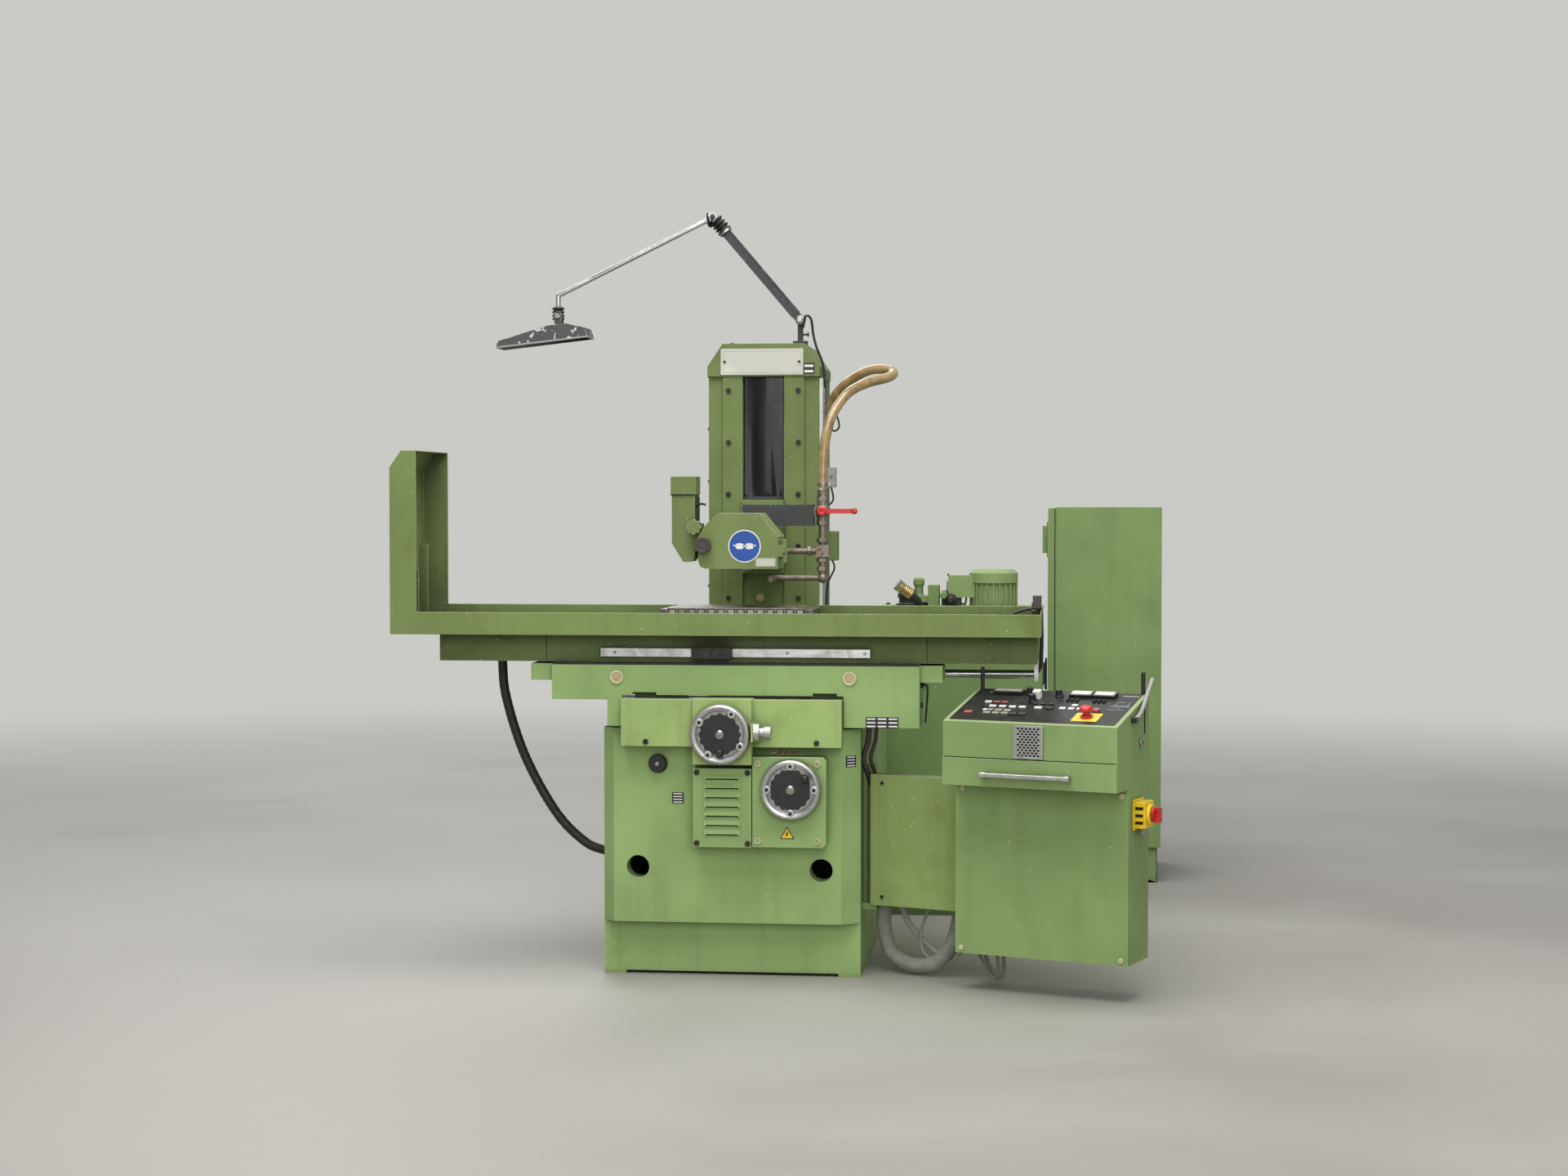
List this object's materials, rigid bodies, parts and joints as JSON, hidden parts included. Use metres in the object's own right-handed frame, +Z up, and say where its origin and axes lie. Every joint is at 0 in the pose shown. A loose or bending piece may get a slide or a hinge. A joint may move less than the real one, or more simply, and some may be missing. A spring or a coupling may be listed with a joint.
{
  "type": "surface grinder",
  "caption": "Hydraulic surface grinder with reciprocating table, magnetic chuck, column-mounted wheel head, swing-arm control console, lamp, hydraulic unit and electric cabinet.",
  "frame": {"origin": "on the floor, at the plinth's front plane, under the middle of the column", "axes": "+X to the operator's right, +Y from front to back, +Z up"},
  "size_m": [2.32, 3.0331, 2.316],
  "materials": {
    "reseda_paint": "satin machine enamel, chipped at edges",
    "column_paint": "satin machine enamel, slightly darker",
    "dark_paint": "dark grey textured paint",
    "black_screws": "black oxide steel",
    "aluminium": "turned and slightly stained",
    "black_plastic": "moulded thermoset plastic",
    "machined_steel": "ground steel with light oil film",
    "bronze": "cast nut bronze",
    "chuck_steel": "ground steel with brown film",
    "abrasive": "vitrified abrasive grain",
    "chrome": "chromed tube",
    "black_rubber": "smooth rubber",
    "hose_rubber": "translucent brown hose",
    "red_plastic": "glossy red plastic"
  },
  "bodies": {
    "base": {"base_casting": "reseda_paint", "control_cover": "reseda_paint", "louvre_cover": "reseda_paint", "feed_housing": "reseda_paint", "socket_screws": "black_screws", "column_casting": "column_paint", "way_cover_strips": "column_paint", "column_cap": "column_paint", "hydraulic_tank": "column_paint", "hydraulic_motor": "column_paint", "cabinet_shell": "column_paint"},
    "cabinet_door": {"cabinet_door": "column_paint"},
    "selector_knob": {"selector_knob": "black_plastic"},
    "plunger_knob": {"plunger_knob": "aluminium"},
    "vertical_handwheel": {"vertical_handwheel": "aluminium", "vertical_feed_shaft": "machined_steel"},
    "vertical_crank": {"vertical_crank": "black_plastic"},
    "cross_handwheel": {"cross_handwheel": "aluminium", "cross_screw": "machined_steel"},
    "cross_crank": {"cross_crank": "black_plastic"},
    "elevating_screw": {"elevating_screw": "machined_steel"},
    "saddle": {"saddle_casting": "reseda_paint", "way_guards": "reseda_paint", "cross_nut": "bronze", "table_cylinder": "machined_steel"},
    "table": {"table_casting": "reseda_paint", "splash_tray": "reseda_paint", "dog_rail": "aluminium", "magnetic_chuck": "chuck_steel", "piston_rod": "machined_steel", "drain_hose": "black_rubber"},
    "left_dog": {"left_dog": "black_screws"},
    "right_dog": {"right_dog": "black_screws"},
    "head": {"head_slide": "reseda_paint", "spindle_housing": "column_paint", "spindle_motor": "column_paint", "spindle_bearings": "machined_steel", "wheel_guard": "reseda_paint", "valve_carrier": "dark_paint", "coolant_valve": "machined_steel", "coolant_hose": "hose_rubber", "column_bellows": "black_rubber"},
    "spindle": {"grinding_wheel": "abrasive", "wheel_flange": "machined_steel", "spindle_shaft": "machined_steel"},
    "guard_door": {"guard_door": "reseda_paint"},
    "guard_knob": {"guard_knob": "black_plastic"},
    "extraction_duct": {"extraction_duct": "reseda_paint"},
    "star_knob": {"star_knob": "reseda_paint"},
    "valve_lever": {"valve_lever": "red_plastic"},
    "lamp_post": {"lamp_post": "dark_paint"},
    "lamp_arm": {"lamp_arm": "dark_paint"},
    "lamp_tube": {"lamp_tube": "chrome"},
    "lamp_head": {"lamp_head": "dark_paint"},
    "console": {"console_arm": "reseda_paint", "console_cabinet": "reseda_paint"},
    "console_drawer": {"console_drawer": "reseda_paint"},
    "emergency_stop": {"emergency_stop": "red_plastic"},
    "feed_rate_knob": {"feed_rate_knob": "black_plastic"},
    "main_switch_knob": {"main_switch_knob": "red_plastic"}
  },
  "joints": [
    {"name": "saddle_cross", "type": "slide", "parent": "base", "child": "saddle", "axis": [0, 1, 0], "range_m": [-0.12, 0.12]},
    {"name": "table_traverse", "type": "slide", "parent": "saddle", "child": "table", "axis": [1, 0, 0], "range_m": [-0.32, 0.32], "deforming": ["drain_hose"]},
    {"name": "head_feed", "type": "slide", "parent": "base", "child": "head", "axis": [0, 0, 1], "range_m": [-0.07, 0.25], "deforming": ["column_bellows", "coolant_hose"]},
    {"name": "spindle_spin", "type": "hinge", "parent": "head", "child": "spindle", "pos_m": [0.007, 0.07, 1.258], "axis": [0, 1, 0], "continuous": true},
    {"name": "cross_feed_turn", "type": "hinge", "parent": "base", "child": "cross_handwheel", "pos_m": [0.172, 0, 0.563], "axis": [0, 1, 0], "range_deg": [-8700, 8700]},
    {"name": "cross_crank_spin", "type": "hinge", "parent": "cross_handwheel", "child": "cross_crank", "pos_m": [0.2152, -0.13, 0.5954], "axis": [0, 1, 0], "continuous": true},
    {"name": "vertical_feed_turn", "type": "hinge", "parent": "base", "child": "vertical_handwheel", "pos_m": [-0.031, 0, 0.723], "axis": [0, 1, 0], "range_deg": [-18200, 18200]},
    {"name": "vertical_crank_spin", "type": "hinge", "parent": "vertical_handwheel", "child": "vertical_crank", "pos_m": [-0.02992, -0.15, 0.669], "axis": [0, 1, 0], "continuous": true},
    {"name": "elevating_screw_turn", "type": "hinge", "parent": "base", "child": "elevating_screw", "pos_m": [-0.088, 0.77, 1.2], "axis": [0, 0, 1], "range_deg": [-18200, 18200]},
    {"name": "selector_turn", "type": "hinge", "parent": "base", "child": "selector_knob", "pos_m": [-0.227, -0.05, 0.628], "axis": [0, 1, 0], "range_deg": [-135, 135]},
    {"name": "plunger_pull", "type": "slide", "parent": "base", "child": "plunger_knob", "axis": [1, 0, 0], "range_m": [0, 0.008]},
    {"name": "left_dog_slide", "type": "slide", "parent": "table", "child": "left_dog", "axis": [1, 0, 0], "range_m": [-0.26, 0]},
    {"name": "right_dog_slide", "type": "slide", "parent": "table", "child": "right_dog", "axis": [1, 0, 0], "range_m": [0, 0.39]},
    {"name": "guard_door_hinge", "type": "hinge", "parent": "head", "child": "guard_door", "pos_m": [0.141, -0.007, 1.25], "axis": [0, 0, 1], "range_deg": [0, 110]},
    {"name": "guard_knob_turn", "type": "hinge", "parent": "guard_door", "child": "guard_knob", "pos_m": [-0.095, -0.03, 1.267], "axis": [0, 1, 0], "range_deg": [0, 180]},
    {"name": "duct_slide", "type": "slide", "parent": "head", "child": "extraction_duct", "axis": [0, 0, 1], "range_m": [-0.02, 0.06]},
    {"name": "star_knob_turn", "type": "hinge", "parent": "head", "child": "star_knob", "pos_m": [-0.126, 0, 1.32], "axis": [0, 1, 0], "range_deg": [-180, 180]},
    {"name": "valve_lever_turn", "type": "hinge", "parent": "head", "child": "valve_lever", "pos_m": [0.232, 0.196, 1.366], "axis": [0, 1, 0], "range_deg": [0, 90]},
    {"name": "lamp_swivel", "type": "hinge", "parent": "base", "child": "lamp_post", "pos_m": [0.116, 0.7, 1.9], "axis": [0, 0, 1], "range_deg": [-170, 170]},
    {"name": "lamp_arm_tilt", "type": "hinge", "parent": "lamp_post", "child": "lamp_arm", "pos_m": [0.116, 0.7, 1.972], "axis": [0, 1, 0], "range_deg": [-10, 25]},
    {"name": "lamp_tube_tilt", "type": "hinge", "parent": "lamp_arm", "child": "lamp_tube", "pos_m": [-0.164, 0.7, 2.301], "axis": [0, 1, 0], "range_deg": [-15, 25]},
    {"name": "lamp_head_tilt", "type": "hinge", "parent": "lamp_tube", "child": "lamp_head", "pos_m": [-0.667, 0.7, 1.99], "axis": [0, 1, 0], "range_deg": [-30, 30]},
    {"name": "console_swing", "type": "hinge", "parent": "base", "child": "console", "pos_m": [0.392, 0.1, 0.4], "axis": [0, 0, 1], "range_deg": [-20, 60]},
    {"name": "drawer_slide", "type": "slide", "parent": "console", "child": "console_drawer", "axis": [-0.3584, -0.9336, 0], "range_m": [0, 0.17]},
    {"name": "emergency_stop_press", "type": "slide", "parent": "console", "child": "emergency_stop", "axis": [0.1024, 0.2667, -0.9583], "range_m": [0, 0.006]},
    {"name": "feed_rate_turn", "type": "hinge", "parent": "console", "child": "feed_rate_knob", "pos_m": [0.86861, -0.17079, 0.8251], "axis": [-0.1024, -0.2667, 0.9583], "range_deg": [-135, 135]},
    {"name": "main_switch_turn", "type": "hinge", "parent": "console", "child": "main_switch_knob", "pos_m": [1.19601, -0.28897, 0.525], "axis": [0.9336, -0.3584, 0], "range_deg": [0, 90]},
    {"name": "cabinet_door_hinge", "type": "hinge", "parent": "base", "child": "cabinet_door", "pos_m": [0.906, 2.592, 0.7], "axis": [0, 0, -1], "range_deg": [0, 110]}
  ],
  "couplings": [
    {"joint": "cross_feed_turn", "follows": "saddle_cross", "rad_per_m": 1256.6},
    {"joint": "vertical_feed_turn", "follows": "head_feed", "rad_per_m": 1256.6},
    {"joint": "elevating_screw_turn", "follows": "head_feed", "rad_per_m": 1256.6}
  ]
}
